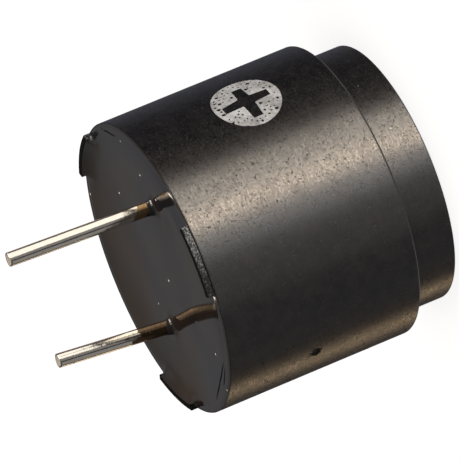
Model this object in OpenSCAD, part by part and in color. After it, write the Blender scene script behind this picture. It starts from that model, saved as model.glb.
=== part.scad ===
// Magnetic buzzer with its own drive circuit, for a circuit board.
//
// The buzzer stands on its nose: the front face is at z = 0, the open base end
// that the resin closes is at the top, and the two pins point up. The axis of
// the round housing is the Z axis, and the positive pin lies towards +X.

/* [Housing] */
// Diameter of the body
body_d = 16; // [15.4:0.1:22]
// Length of the body, from the shoulder to the rim of the base end
body_len = 11.05; // [10.6:0.05:16]
// Diameter of the nose
nose_d = 14.05; // [12:0.05:14.6]
// Length of the nose, from the front face to the shoulder
nose_len = 2.55; // [1.5:0.05:5]
// Thickness of the moulded wall
wall = 0.85; // [0.6:0.05:1.05]
// Radius round the outer edge of the shoulder
shoulder_r = 0.2; // [0.1:0.05:0.6]
// Bevel round the edge of the front face
nose_bevel = 0.06; // [0.02:0.02:0.3]
// Diameter of the sound hole in the middle of the front face
sound_hole_d = 2.6; // [1.2:0.1:4]
// Width of the flat end face that the rim keeps outside its inner bevel
lip_w = 0.42; // [0.2:0.02:0.55]
// Depth of the bevel inside the rim
lip_depth = 1; // [0.9:0.05:1.4]

/* [Standoffs] */
// Number of standoffs on the rim
tab_count = 3; // [3:1:6]
// Angle that one standoff covers, in degrees
tab_arc = 27.5; // [10:0.5:45]
// Turn of the standoffs from the line through the pins, in degrees
tab_turn = 6; // [-20:0.5:20]
// Height of a standoff above the rim
tab_h = 0.4; // [0.2:0.05:1]
// Thickness of a standoff on the radius
tab_t = 0.33; // [0.15:0.01:0.35]
// Step from the body's surface in to a standoff's outer face
tab_inset = 0.05; // [0:0.01:0.07]

/* [Diaphragm] */
// Depth of the diaphragm's seat below the ledge in the housing
seat_depth = 0.8; // [0.6:0.05:1.5]
// Width of the seat under the diaphragm's edge
seat_w = 0.5; // [0.3:0.05:0.8]
// Thickness of the seat's flange
seat_t = 0.6; // [0.3:0.05:0.6]
// Thickness of the spring-steel diaphragm
diaphragm_t = 0.08; // [0.05:0.01:0.15]
// Diameter of the weight on the diaphragm
weight_d = 4.2; // [2:0.1:6]
// Thickness of the weight on the diaphragm
weight_t = 0.35; // [0.2:0.05:0.5]
// Wall of the support ring outside the magnet
ring_w = 0.7; // [0.6:0.05:1.2]
// Wall of the support ring outside the diaphragm
ring_rim_w = 0.45; // [0.3:0.05:0.5]

/* [Magnet system] */
// Gap from the diaphragm's seat to the pole face
air_gap = 0.35; // [0.2:0.05:0.6]
// Length of the core between its pole face and the yoke plate
core_len = 4.3; // [3.9:0.1:5.2]
// Diameter of the core
core_d = 2.4; // [1.6:0.1:2.9]
// Diameter of the core's rivet shank in the yoke plate
rivet_d = 1.6; // [0.8:0.1:2]
// Thickness of the yoke plate
plate_t = 1; // [0.6:0.1:1.6]
// Height of the ring magnet
magnet_h = 3.3; // [2:0.1:3.9]
// Diameter of the hole through the ring magnet
magnet_bore_d = 8.8; // [8.6:0.1:9.6]

/* [Coil] */
// Diameter of the bobbin's flanges
bobbin_d = 7.2; // [6:0.1:7.4]
// Distance that the core stands proud of the bobbin
bobbin_setback = 0.4; // [0.1:0.05:0.8]
// Thickness of each flange
flange_t = 0.35; // [0.2:0.05:0.5]
// Wall of the bobbin's tube
tube_w = 0.3; // [0.2:0.05:0.5]
// Depth that the finished winding keeps below the flanges
wind_margin = 0.25; // [0.1:0.05:0.5]
// Radial thickness of the sense winding, which lies over the drive winding
sense_w = 0.55; // [0.2:0.05:0.8]
// Room at the plate end of the sense winding, where the inner leads come out
lead_room = 0.3; // [0.2:0.05:0.6]

/* [Coil leads] */
// Diameter of a lead
lead_d = 0.14; // [0.08:0.01:0.18]
// Radius at which the leads go up through the plate and the board
lead_ring_r = 4; // [3.9:0.05:4.2]
// Angle between neighbouring leads, in degrees
lead_step = 30; // [20:1:40]
// Height of a lead's end above the board
lead_stub = 0.3; // [0.1:0.05:0.5]
// Diameter of the solder on a lead's end
lead_solder_d = 1; // [0.5:0.05:1.4]

/* [Circuit board] */
// Thickness of the circuit board
board_t = 1; // [0.6:0.1:1.6]
// Width, depth and height of the transistor's body
transistor_size = [2.9, 1.3, 1]; // [0.8:0.1:3]
// Length of the transistor over its leads
transistor_span = 2.4; // [1.8:0.1:3]
// Width, depth and height of the diode's body
diode_size = [2.7, 1.6, 1.1]; // [0.8:0.1:3]
// Length of the diode over its leads
diode_span = 3.7; // [3:0.1:4]
// Width, depth and height of the chip resistor
resistor_size = [2, 1.25, 0.5]; // [0.4:0.05:2.2]
// Length of each plated end of the chip resistor
resistor_end = 0.35; // [0.2:0.05:0.6]
// Thickness of the leads of the transistor and the diode
foot_t = 0.15; // [0.1:0.01:0.2]
// Width of a lead of the transistor
transistor_foot_w = 0.42; // [0.3:0.02:0.6]
// Width of a lead of the diode
diode_foot_w = 0.6; // [0.4:0.05:1.2]

/* [Pins] */
// Diameter of a pin
pin_d = 0.76; // [0.5:0.02:1]
// Distance between the pins where they leave the resin
pin_pitch = 7.7; // [7:0.1:8.4]
// Length of the positive pin from the resin to its tip
plus_len = 8.2; // [3:0.1:14]
// Length of the negative pin from the resin to its tip
minus_len = 6.4; // [3:0.1:14]
// Lean of the positive pin, in degrees
plus_lean = 2.2; // [0:0.1:6]
// Lean of the negative pin, in degrees
minus_lean = 5.6; // [0:0.1:8]
// Direction in which both pins lean, in degrees from +X
lean_dir = 38.5; // [0:0.5:360]
// Bevel that the cutting leaves round a pin's tip
tip_bevel = 0.05; // [0.02:0.01:0.15]
// Length of a pin's foot below the board
pin_foot = 0.3; // [0.1:0.05:0.5]
// Diameter of the solder cone on the board
solder_d = 1.9; // [1.3:0.1:2.2]
// Height of the solder cone on the board
solder_h = 0.9; // [0.4:0.1:1.2]

/* [Resin] */
// Depth of the resin's surface below the rim
fill_depth = 0.35; // [0.2:0.05:0.8]
// Radius of the hollow curve where the resin climbs the rim
meniscus_r = 0.8; // [0.7:0.05:1.2]
// Distance below the rim at which the resin stops climbing
climb_stop = 0.04; // [0.02:0.01:0.1]
// Width of the resin's fillet round a pin
pin_fillet_w = 0.3; // [0.1:0.05:0.6]
// Height of the resin's fillet round a pin
pin_fillet_h = 0.25; // [0.1:0.05:0.6]

/* [Fits] */
// Gap on the radius round what slides into the housing
slide_fit = 0.05; // [0.02:0.01:0.15]
// Gap on the radius round the diaphragm and round the magnet
loose_fit = 0.1; // [0.05:0.01:0.2]
// Gap on the radius round the circuit board
board_fit = 0.2; // [0.1:0.05:0.5]
// Gap on the radius round the core in the bobbin
core_fit = 0.04; // [0.02:0.01:0.1]
// Gap on the radius round a pin or a lead in the circuit board
hole_fit = 0.1; // [0.05:0.01:0.2]
// Gap on the radius that insulates a pin from the yoke plate
pin_insulation = 0.5; // [0.3:0.05:0.7]
// Gap on the radius that insulates a lead from the yoke plate
lead_insulation = 0.35; // [0.2:0.05:0.5]

/* [Hidden] */
$fn = 96;

// Small overrun that keeps a cut from ending on a face
eps = 0.05;

// Heights, from the front face up
rim_z = nose_len + body_len;
fill_z = rim_z - fill_depth;
ledge_z = nose_len + wall;
seat_z = ledge_z + seat_depth;
pole_z = seat_z + air_gap;
plate_z = pole_z + core_len;
board_z = plate_z + plate_t;
parts_z = board_z + board_t;

// Radii, from the housing in
body_r = body_d / 2;
nose_r = nose_d / 2;
bore_r = body_r - wall;
lip_r = body_r - lip_w;
cavity_r = nose_r - wall;
slide_r = bore_r - slide_fit;
diaphragm_r = slide_r - ring_rim_w - loose_fit;
ring_bore_r = slide_r - ring_w;
magnet_r = ring_bore_r - loose_fit;
board_r = bore_r - board_fit;

// Coil
core_r = core_d / 2;
tube_r = core_r + core_fit + tube_w;
sense_r = bobbin_d / 2 - wind_margin;
drive_r = sense_r - sense_w;
wind_low_z = pole_z + bobbin_setback + flange_t;
wind_high_z = plate_z - flange_t;
inner_lead_z = wind_high_z - lead_room / 2;
outer_lead_z = (wind_low_z + wind_high_z) / 2;
lead_angles = [90 - lead_step, 90, 90 + lead_step];

pin_x = pin_pitch / 2;
pin_r = pin_d / 2;
// Swelling of a pin where it is bent
knuckle = 0.015;
// Gap under the body of a surface-mounted part
part_lift = foot_t / 2;
transistor_at = [0, -4.2];
diode_at = [0, 1.5];
resistor_at = [0, -1.3];

// ---- Shapes that several pieces use ----

// A tube that stands on z
module tube(outer_r, inner_r, z, h) {
    translate([0, 0, z])
        difference() {
            cylinder(r = outer_r, h = h);
            translate([0, 0, -eps]) cylinder(r = inner_r, h = h + 2 * eps);
        }
}

// Copies at both pins
module at_pins() {
    for (side = [-1, 1]) translate([side * pin_x, 0, 0]) children();
}

// Copies at the three places where a coil lead comes up
module at_leads() {
    for (a = lead_angles) rotate([0, 0, a]) translate([lead_ring_r, 0, 0]) children();
}

// A pin: straight up through the board and the resin, bent at the resin's surface,
// and straight again to its tip
module pin(x, free_len, lean) {
    translate([x, 0, board_z - pin_foot]) cylinder(d = pin_d, h = fill_z - board_z + pin_foot);
    translate([x, 0, fill_z]) {
        sphere(r = pin_r + knuckle);
        rotate([0, 0, lean_dir]) rotate([0, lean, 0]) {
            cylinder(d = pin_d, h = free_len - tip_bevel);
            translate([0, 0, free_len - tip_bevel])
                cylinder(d1 = pin_d, d2 = pin_d - 2 * tip_bevel, h = tip_bevel);
        }
    }
}

// A solder cone on the board round a pin
module pin_joint(x) {
    translate([x, 0, parts_z])
        difference() {
            cylinder(d1 = solder_d, d2 = pin_d + 2 * eps, h = solder_h);
            translate([0, 0, -eps]) cylinder(d = pin_d, h = solder_h + 2 * eps);
        }
}

// A coil lead: out from its winding, then up through the plate and the board
module lead(angle, from_r, z) {
    rotate([0, 0, angle]) {
        translate([from_r, 0, z]) rotate([0, 90, 0]) cylinder(d = lead_d, h = lead_ring_r - from_r);
        translate([lead_ring_r, 0, z]) {
            sphere(d = lead_d);
            cylinder(d = lead_d, h = parts_z + lead_stub - z);
        }
    }
}

// The body of a surface-mounted part, lifted off the board
module part_body(size) {
    translate([-size[0] / 2, -size[1] / 2, part_lift]) cube([size[0], size[1], size[2] - part_lift]);
}

// ---- Housing ----

// Outline of the outside, on the radius
module housing_outline() {
    difference() {
        union() {
            square([nose_r, rim_z]);
            translate([0, nose_len + shoulder_r]) square([body_r, body_len - shoulder_r]);
            translate([0, nose_len]) square([body_r - shoulder_r, body_len]);
            translate([body_r - shoulder_r, nose_len + shoulder_r]) circle(r = shoulder_r);
        }
        translate([nose_r, 0]) rotate(45) square(nose_bevel * sqrt(2), center = true);
    }
}

// Outline of the hollow: the cavity in the nose, the bore, and the bevel in the rim
module hollow_outline() {
    polygon([
        [0, wall], [cavity_r, wall], [cavity_r, ledge_z], [bore_r, ledge_z],
        [bore_r, rim_z - lip_depth], [lip_r, rim_z], [lip_r, rim_z + eps], [0, rim_z + eps]
    ]);
}

module standoffs() {
    outer_r = body_r - tab_inset;
    for (i = [0:tab_count - 1])
        rotate([0, 0, tab_turn + 180 + i * 360 / tab_count - tab_arc / 2])
            translate([0, 0, rim_z - eps])
                rotate_extrude(angle = tab_arc)
                    translate([outer_r - tab_t, 0]) square([tab_t, tab_h + eps]);
}

module housing() {
    color("#26262a") {
        difference() {
            rotate_extrude() difference() { housing_outline(); hollow_outline(); }
            translate([0, 0, -eps]) cylinder(d = sound_hole_d, h = wall + 2 * eps);
        }
        standoffs();
    }
}

// ---- Diaphragm and its ring ----

// The ring rests on the ledge and carries the diaphragm on a step inside it
module support_ring() {
    color("#b9bcc0")
        difference() {
            translate([0, 0, ledge_z]) cylinder(r = slide_r, h = plate_z - ledge_z);
            translate([0, 0, ledge_z - eps])
                cylinder(r = diaphragm_r + loose_fit, h = seat_depth + eps);
            translate([0, 0, ledge_z]) cylinder(r = diaphragm_r - seat_w, h = plate_z - ledge_z);
            translate([0, 0, seat_z + seat_t]) cylinder(r = ring_bore_r, h = plate_z - seat_z);
        }
}

module diaphragm() {
    color("#c9cacc")
        translate([0, 0, seat_z - diaphragm_t]) cylinder(r = diaphragm_r, h = diaphragm_t);
}

module diaphragm_weight() {
    color("#8d8f94")
        translate([0, 0, seat_z - diaphragm_t - weight_t]) cylinder(d = weight_d, h = weight_t);
}

// ---- Magnet system ----

module pole_core() {
    color("#9a9ca1") {
        translate([0, 0, pole_z]) cylinder(r = core_r, h = core_len);
        translate([0, 0, plate_z]) cylinder(d = rivet_d, h = plate_t);
    }
}

// Iron plate with holes for the core's rivet, the pins' feet and the coil leads
module yoke_plate() {
    color("#a3a5a9")
        difference() {
            translate([0, 0, plate_z]) cylinder(r = slide_r, h = plate_t);
            translate([0, 0, plate_z - eps]) {
                cylinder(d = rivet_d, h = plate_t + 2 * eps);
                at_pins() cylinder(r = pin_r + pin_insulation, h = plate_t + 2 * eps);
                at_leads() cylinder(r = lead_d / 2 + lead_insulation, h = plate_t + 2 * eps);
            }
        }
}

module ring_magnet() {
    color("#3c3a3a") tube(magnet_r, magnet_bore_d / 2, plate_z - magnet_h, magnet_h);
}

// ---- Coil ----

module bobbin() {
    color("#e7e2d2") {
        low_z = pole_z + bobbin_setback;
        tube(tube_r, core_r + core_fit, low_z, plate_z - low_z);
        for (z = [low_z, wind_high_z]) tube(bobbin_d / 2, core_r + core_fit, z, flange_t);
    }
}

module drive_coil() {
    color("#b4622f") tube(drive_r, tube_r, wind_low_z, wind_high_z - wind_low_z);
}

module sense_coil() {
    color("#c4713a") tube(sense_r, drive_r, wind_low_z, wind_high_z - wind_low_z - lead_room);
}

module drive_lead() {
    color("#b4622f") lead(lead_angles[0], drive_r, inner_lead_z);
}

module common_lead() {
    color("#b4622f") lead(lead_angles[1], drive_r, inner_lead_z);
}

module sense_lead() {
    color("#c4713a") lead(lead_angles[2], sense_r, outer_lead_z);
}

module lead_solder() {
    color("#cfd1d4")
        at_leads() translate([0, 0, parts_z])
            difference() {
                intersection() {
                    sphere(d = lead_solder_d);
                    cylinder(d = lead_solder_d, h = lead_solder_d);
                }
                translate([0, 0, -eps]) cylinder(d = lead_d, h = lead_stub + eps);
            }
}

// ---- Circuit board and its parts ----

module circuit_board() {
    color("#b98a4a")
        difference() {
            translate([0, 0, board_z]) cylinder(r = board_r, h = board_t);
            translate([0, 0, board_z - eps]) {
                at_pins() cylinder(r = pin_r + hole_fit, h = board_t + 2 * eps);
                at_leads() cylinder(r = lead_d / 2 + hole_fit, h = board_t + 2 * eps);
            }
        }
}

module transistor() {
    foot = [transistor_foot_w, transistor_span / 2, foot_t];
    foot_x = transistor_size[0] / 3;
    color("#2b2b2d")
        translate([transistor_at[0], transistor_at[1], parts_z]) {
            part_body(transistor_size);
            for (x = [-foot_x, foot_x]) translate([x - foot[0] / 2, -foot[1], 0]) cube(foot);
            translate([-foot[0] / 2, 0, 0]) cube(foot);
        }
}

module diode() {
    color("#2b2b2d")
        translate([diode_at[0], diode_at[1], parts_z]) {
            part_body(diode_size);
            translate([-diode_span / 2, -diode_foot_w / 2, 0]) cube([diode_span, diode_foot_w, foot_t]);
        }
}

module resistor() {
    end = [resistor_end, resistor_size[1], resistor_size[2]];
    color("#202022")
        translate([resistor_at[0], resistor_at[1], parts_z]) {
            part_body(resistor_size);
            for (x = [-resistor_size[0] / 2, resistor_size[0] / 2 - resistor_end])
                translate([x, -resistor_size[1] / 2, 0]) cube(end);
        }
}

// ---- Pins ----

module plus_pin() {
    color("#d6d4cd") pin(pin_x, plus_len, plus_lean);
}

module minus_pin() {
    color("#d6d4cd") pin(-pin_x, minus_len, minus_lean);
}

module plus_solder() {
    color("#cfd1d4") pin_joint(pin_x);
}

module minus_solder() {
    color("#cfd1d4") pin_joint(-pin_x);
}

// ---- Resin ----

// Outline of the fill: it follows the bore and the bevel, and climbs the bevel in a hollow curve
module fill_outline() {
    climb = fill_depth - climb_stop;
    curve_w = sqrt(pow(meniscus_r, 2) - pow(meniscus_r - climb, 2));
    curve_x = lip_r - curve_w;
    difference() {
        polygon([
            [0, board_z], [bore_r, board_z], [bore_r, rim_z - lip_depth], [lip_r, rim_z],
            [curve_x, rim_z], [curve_x, fill_z], [0, fill_z]
        ]);
        translate([curve_x, fill_z + meniscus_r]) circle(r = meniscus_r);
    }
}

// The resin fills the base end round the board, its parts and the pins
module potting() {
    color("#1b1b1e")
        difference() {
            union() {
                rotate_extrude() fill_outline();
                translate([0, 0, fill_z - eps])
                    at_pins() cylinder(r1 = pin_r + pin_fillet_w, r2 = pin_r + eps, h = pin_fillet_h + eps);
            }
            translate([0, 0, board_z - eps]) cylinder(r = board_r, h = board_t + eps);
            plus_pin();
            minus_pin();
            plus_solder();
            minus_solder();
            lead_solder();
            drive_lead();
            common_lead();
            sense_lead();
            transistor();
            diode();
            resistor();
        }
}

housing();
support_ring();
diaphragm();
diaphragm_weight();
pole_core();
yoke_plate();
ring_magnet();
bobbin();
drive_coil();
sense_coil();
drive_lead();
common_lead();
sense_lead();
lead_solder();
circuit_board();
transistor();
diode();
resistor();
plus_pin();
minus_pin();
plus_solder();
minus_solder();
potting();
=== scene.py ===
# Magnetic buzzer with its own drive circuit: its looks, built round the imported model.
# It stands on its nose, with the front face at z = 0 and the positive pin towards +X.

import math
import random

import bmesh
import bpy
from mathutils import Matrix, Quaternion, Vector


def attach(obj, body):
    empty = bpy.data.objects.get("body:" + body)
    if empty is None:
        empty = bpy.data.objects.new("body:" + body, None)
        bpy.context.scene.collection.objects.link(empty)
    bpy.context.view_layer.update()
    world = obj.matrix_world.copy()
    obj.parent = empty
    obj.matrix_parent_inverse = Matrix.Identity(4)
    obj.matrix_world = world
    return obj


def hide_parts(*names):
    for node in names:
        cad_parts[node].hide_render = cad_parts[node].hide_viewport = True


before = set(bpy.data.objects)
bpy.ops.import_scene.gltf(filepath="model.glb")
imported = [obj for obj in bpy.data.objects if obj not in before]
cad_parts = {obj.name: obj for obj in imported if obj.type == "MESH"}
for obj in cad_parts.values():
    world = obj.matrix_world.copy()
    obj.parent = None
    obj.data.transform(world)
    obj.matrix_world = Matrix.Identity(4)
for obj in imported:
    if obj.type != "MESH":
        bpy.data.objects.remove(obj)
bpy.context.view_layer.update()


# ---- Housing ----
# One moulding in black PBT: a round cup with a stepped nose, a sound hole in its front face
# and three standoffs on the rim of its open end. The wall is satin with tool marks that run
# round it, and the standoffs' outer faces keep the grain of the spark-eroded mould.

MM = 0.001
TURN_STEPS = 288
TAB_CENTRES = (66, 186, 306)
TAB_ARC = 27.5
TURN_START = TAB_CENTRES[0] - TAB_ARC / 2
RIM_Z = 13.6
TAB_TOP_Z = 14
BODY_R = 7.99
NOSE_R = 7.025
NOSE_Z = 2.55
TAB_IN_R = 7.62
TAB_OUT_R = 7.95
LIP_R = 7.58
BORE_R = 7.15
LIP_FOOT_Z = 12.6
LEDGE_Z = 3.4
CAVITY_R = 6.175
FACE_T = 0.85
SOUND_HOLE_R = 1.3
SHOULDER_ROUND = 0.14
NOSE_ROUND = 0.06
SOUND_HOLE_ROUND = 0.05
RIM_ROUND = 0.025
TAB_ROUND = 0.035
# Where the gate was broken off, and a nick: turn, height, length and half arc in degrees
SCARS = ((-112.3, 8.62, 0.78, 2.3), (-134.2, 5.13, 0.3, 1.2))
SCAR_SLOPE_W = 0.02
SCAR_DEPTH = 0.04
# The floor of a scar is uneven by up to this share of the radius
SCAR_ROUGH = 0.007
# The mesh is finer round a scar: rows of points over so much of its length, and cuts out to so
# many times its half sizes
SCAR_ROWS = 1.2
SCAR_FIELD = 1.9
# A row of points this far from a rounded edge keeps the flat beside it flat
HOLD = 0.1
# Points closer than the first of these are one point, and within the second of a size are on it
SAME_POINT = 0.0005
NEARLY = 0.001
# Places are counted in this many steps a millimetre, over this many steps each way
PLACE_STEPS = 2000
PLACE_SPAN = 20000
SHARP_DEG = 32


def place_number(point):
    """A number that grows with a point's height, then its x and then its y."""
    x, y, z = (round(PLACE_STEPS * c) + PLACE_SPAN for c in point)
    return (z * 2 * PLACE_SPAN + x) * 2 * PLACE_SPAN + y


def in_order(shape):
    """Puts points, edges and faces in the order of their places, so that it is always the same."""
    shape.verts.sort(key=lambda v: place_number(v.co))
    shape.edges.sort(key=lambda edge: place_number((edge.verts[0].co + edge.verts[1].co) / 2))
    shape.faces.sort(key=lambda face: place_number(face.calc_center_median()))


def turned(shape, outline, closed=True):
    """Turns an outline of (radius, height) points round the Z axis."""
    start = Matrix.Rotation(math.radians(TURN_START), 4, "Z")
    points = [shape.verts.new(start @ Vector((r, 0, z))) for r, z in outline]
    pairs = list(zip(points, points[1:]))
    if closed:
        pairs.append((points[-1], points[0]))
    lines = [shape.edges.new(pair) for pair in pairs]
    bmesh.ops.spin(
        shape, geom=points + lines, cent=(0, 0, 0), axis=(0, 0, 1),
        angle=math.tau, steps=TURN_STEPS, use_merge=True,
    )
    bmesh.ops.remove_doubles(shape, verts=shape.verts, dist=SAME_POINT)
    in_order(shape)


def radius(point):
    return math.hypot(point.x, point.y)


def turn_deg(point):
    return math.degrees(math.atan2(point.y, point.x))


def degrees_apart(a, b):
    return abs((a - b + 180) % 360 - 180)


def round_ring(shape, r, z, offset, segments):
    """Rounds the ring edge at a radius and height."""
    ring = [
        edge for edge in shape.edges
        if all(max(abs(radius(v.co) - r), abs(v.co.z - z)) < 2 * NEARLY for v in edge.verts)
    ]
    bmesh.ops.bevel(
        shape, geom=ring, offset=offset, offset_type="OFFSET", affect="EDGES",
        segments=segments, profile=0.5, material=-1,
    )


def finish_piece(name, shape, materials, replaced=()):
    """Makes a shape drawn in millimetres into a piece in metres that rides on the part."""
    bmesh.ops.remove_doubles(shape, verts=shape.verts, dist=SAME_POINT)
    bmesh.ops.recalc_face_normals(shape, faces=shape.faces)
    bmesh.ops.scale(shape, vec=(MM, MM, MM), verts=shape.verts)
    mesh = bpy.data.meshes.new(name)
    shape.to_mesh(mesh)
    shape.free()
    for material in materials:
        mesh.materials.append(material)
    mesh.shade_smooth()
    mesh.set_sharp_from_angle(angle=math.radians(SHARP_DEG))
    piece = bpy.data.objects.new(name, mesh)
    bpy.context.scene.collection.objects.link(piece)
    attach(piece, "root")
    if replaced:
        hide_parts(*replaced)
    return piece


def linear(code):
    """An sRGB hex colour as the linear colour that Blender's sockets take."""
    parts = [int(code[i:i + 2], 16) / 255 for i in (1, 3, 5)]
    return (*[c / 12.92 if c <= 0.04045 else ((c + 0.055) / 1.055) ** 2.4 for c in parts], 1)


def add(tree, kind, feeds=None, **settings):
    """Adds a node with its settings. Each feed is a value, or the output that drives that input."""
    node = tree.nodes.new("ShaderNode" + kind)
    for name, value in settings.items():
        setattr(node, name, value)
    connect(tree, node, feeds or {})
    return node


def connect(tree, node, feeds):
    for name, value in feeds.items():
        if isinstance(value, bpy.types.NodeSocket):
            tree.links.new(value, node.inputs[name])
        else:
            node.inputs[name].default_value = value


def new_material(name, **sockets):
    """A material with a Principled shader whose all-over values are set on its own sockets."""
    material = bpy.data.materials.new(name)
    material.use_nodes = True
    surface = material.node_tree.nodes["Principled BSDF"]
    for socket, value in sockets.items():
        surface.inputs[socket.replace("_", " ")].default_value = value
    return material, material.node_tree, surface


# Moulded PBT: almost black, with a satin sheen that the tool marks break up. The marks are
# 0.6 mm long round the body and 0.08 mm apart, the pits are up to 0.07 mm across, the hair
# scratches are 0.01 mm wide, and a few grains of pale dust lie on it.
case, tree, surface = new_material("moulded_pbt", IOR=1.57)
place = add(tree, "TexCoord").outputs["Object"]
marks_at = add(tree, "Mapping", {"Vector": place, "Scale": (1700, 1700, 13000)})
marks = add(tree, "TexNoise", {"Vector": marks_at.outputs[0], "Scale": 1, "Detail": 3})
grain = add(tree, "TexNoise", {"Vector": place, "Scale": 15000, "Detail": 2})
patches = add(tree, "TexNoise", {"Vector": place, "Scale": 900, "Detail": 2})
pits = add(tree, "TexVoronoi", {"Vector": place, "Scale": 7800})
pit_pick = add(tree, "SeparateXYZ", {0: pits.outputs["Color"]})
crowd = add(tree, "Math", {0: pit_pick.outputs[0], 1: patches.outputs[0]})
pit_size = add(tree, "MapRange", {
    "Value": crowd.outputs[0], "From Min": 1.0, "From Max": 1.45, "To Min": 0, "To Max": 0.26,
})
pit_edge = add(tree, "Math", {0: pit_size.outputs[0], 1: pits.outputs["Distance"]},
               operation="SUBTRACT")
pit = add(tree, "MapRange", {"Value": pit_edge.outputs[0], "From Min": 0, "From Max": 0.1})
hairs = add(tree, "TexNoise", {"Vector": place, "Scale": 5600, "Detail": 1})
hair_off = add(tree, "Math", {0: hairs.outputs[0], 1: 0.5}, operation="SUBTRACT")
hair_near = add(tree, "Math", {0: hair_off.outputs[0]}, operation="ABSOLUTE")
hair_line = add(tree, "MapRange", {
    "Value": hair_near.outputs[0], "From Min": 0.01, "From Max": 0.028, "To Min": 1, "To Max": 0,
})
hair_spots = add(tree, "TexNoise", {"Vector": place, "Scale": 7000, "Detail": 1})
hair_there = add(tree, "MapRange", {
    "Value": hair_spots.outputs[0], "From Min": 0.53, "From Max": 0.57,
})
hair = add(tree, "Math", {0: hair_line.outputs[0], 1: hair_there.outputs[0]},
           operation="MULTIPLY")
flaw = add(tree, "Math", {0: pit.outputs[0], 1: hair.outputs[0]}, operation="MAXIMUM")
dust = add(tree, "TexVoronoi", {"Vector": place, "Scale": 850})
dust_pick = add(tree, "SeparateXYZ", {0: dust.outputs["Color"]})
dust_size = add(tree, "MapRange", {
    "Value": dust_pick.outputs[0], "From Min": 0.72, "From Max": 1, "To Min": 0, "To Max": 0.055,
})
dust_edge = add(tree, "Math", {0: dust_size.outputs[0], 1: dust.outputs["Distance"]},
                operation="SUBTRACT")
speck = add(tree, "MapRange", {"Value": dust_edge.outputs[0], "From Min": 0, "From Max": 0.012})
smudge = add(tree, "TexNoise", {"Vector": place, "Scale": 1300, "Detail": 5, "Roughness": 0.7})
cloud = add(tree, "MapRange", {"Value": smudge.outputs[0], "From Min": 0.36, "From Max": 0.66})
plastic = add(tree, "Mix", {0: cloud.outputs[0], 6: linear("#060608"), 7: linear("#171516")},
              data_type="RGBA")
dusty = add(tree, "Mix", {0: speck.outputs[0], 6: plastic.outputs[2], 7: linear("#a8a298")},
            data_type="RGBA")
speckle = add(tree, "TexNoise", {"Vector": place, "Scale": 8000, "Detail": 2})
cloudy = add(tree, "Math", {0: patches.outputs[0], 1: 0.4, 2: marks.outputs[0]},
             operation="MULTIPLY_ADD")
uneven = add(tree, "Math", {0: speckle.outputs[0], 1: cloudy.outputs[0]}, operation="ADD")
sheen = add(tree, "MapRange", {
    "Value": uneven.outputs[0], "From Min": 0.9, "From Max": 1.5, "To Min": 0.24, "To Max": 0.4,
})
dull = add(tree, "Mix", {0: flaw.outputs[0], 2: sheen.outputs[0], 3: 0.75}, data_type="FLOAT")
relief = add(tree, "Math", {0: grain.outputs[0], 1: 1.6, 2: marks.outputs[0]},
             operation="MULTIPLY_ADD")
pitted = add(tree, "Math", {0: flaw.outputs[0], 1: -1.6, 2: relief.outputs[0]},
             operation="MULTIPLY_ADD")
bump = add(tree, "Bump", {"Strength": 1, "Distance": 0.0000022, "Height": pitted.outputs[0]})
connect(tree, surface, {
    "Base Color": dusty.outputs[2], "Roughness": dull.outputs[0], "Normal": bump.outputs[0],
})

# The same plastic where the mould was left as eroded, and on the floor of a scar: dull and dark,
# with a coarse grain of 0.08 mm. Its crests carry a painted highlight over the middle of each
# standoff's outer face. The highlight fades along x, strongest towards the +X end of the standoff
# at 306 degrees and faint on the others. Narrow bands of painted shade run along the top and
# bottom of each face. The grain traps glancing light, so its gloss is set low.
eroded, tree, surface = new_material("eroded_pbt", IOR=1.57, Specular_IOR_Level=0.08)
place = add(tree, "TexCoord").outputs["Object"]
crests = add(tree, "TexNoise", {"Vector": place, "Scale": 12500, "Detail": 3, "Roughness": 0.6})
point = add(tree, "MapRange", {
    "Value": crests.outputs[0], "From Min": 0.5, "From Max": 0.64, "To Min": 0.1, "To Max": 1,
})
split = add(tree, "SeparateXYZ", {0: place})
from_middle = add(tree, "Math", {0: split.outputs[2], 1: (RIM_Z + TAB_TOP_Z) / 2 * MM},
                  operation="SUBTRACT")
off_middle = add(tree, "Math", {0: from_middle.outputs[0]}, operation="ABSOLUTE")
# Painted shade: the crests' highlight is left out near the top and bottom edges of the face.
between_painted_shade_edges = add(tree, "MapRange", {
    "Value": off_middle.outputs[0], "From Min": 0.15 * MM, "From Max": 0.185 * MM,
    "To Min": 1, "To Max": 0,
})
# Painted light: the highlight falls off towards lower x, as the light on the face does.
painted_light_along_x = add(tree, "MapRange", {
    "Value": split.outputs[0], "From Min": 3.7 * MM, "From Max": 5 * MM,
    "To Min": 0.22, "To Max": 1,
})
# Painted highlight: the grain's crests are tinted pale where the face is taken as lit.
painted_highlight_share = add(tree, "Math", {0: painted_light_along_x.outputs[0], 1: between_painted_shade_edges.outputs[0]}, operation="MULTIPLY")
painted_crest_highlight = add(tree, "Math", {0: point.outputs[0], 1: painted_highlight_share.outputs[0]}, operation="MULTIPLY")
tone = add(tree, "Mix", {0: painted_crest_highlight.outputs[0], 6: linear("#070707"), 7: linear("#9aa0a6")},
           data_type="RGBA")
bump = add(tree, "Bump", {"Strength": 1, "Distance": 0.00002, "Height": crests.outputs[0]})
connect(tree, surface, {
    "Base Color": tone.outputs[2], "Roughness": 0.6, "Normal": bump.outputs[0],
})

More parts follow.
